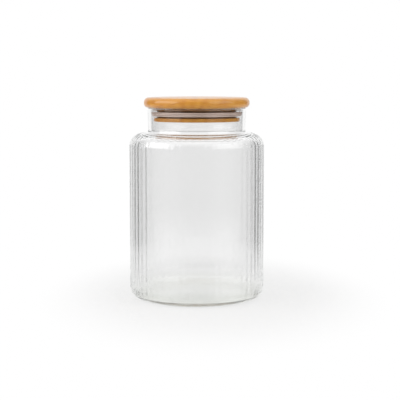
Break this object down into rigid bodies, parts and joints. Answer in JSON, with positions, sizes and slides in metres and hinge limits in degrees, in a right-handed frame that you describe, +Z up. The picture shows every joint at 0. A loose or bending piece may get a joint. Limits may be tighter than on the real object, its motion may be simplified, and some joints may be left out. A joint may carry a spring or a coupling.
{
  "type": "storage jar",
  "caption": "Cylindrical fluted clear glass storage jar with a smooth straight neck and a round bamboo stopper lid sealed by a finned silicone ring.",
  "frame": {"origin": "centre of the base, on the surface that the jar stands on", "axes": "+Z up along the axis of the jar, the lid and the seal; X and Y across the body, which is the same all round"},
  "size_m": [0.11, 0.11, 0.1642],
  "materials": {
    "clear_glass": "clear and glossy, very slightly green-grey where it is thick",
    "bamboo": "oiled satin, warm orange-brown, with short dark fibre flecks",
    "clear_silicone": "translucent, grey-white, satin"
  },
  "bodies": {
    "jar": {"glass_jar": "clear_glass"},
    "seal": {"seal_ring": "clear_silicone"},
    "lid": {"bamboo_lid": "bamboo"}
  },
  "joints": [
    {"name": "lid_lift", "type": "slide", "parent": "jar", "child": "seal", "axis": [0, 0, 1], "range_m": [0, 0.12]},
    {"name": "lid_turn", "type": "hinge", "parent": "seal", "child": "lid", "pos_m": [0, 0, 0.156], "axis": [0, 0, 1], "continuous": true}
  ]
}
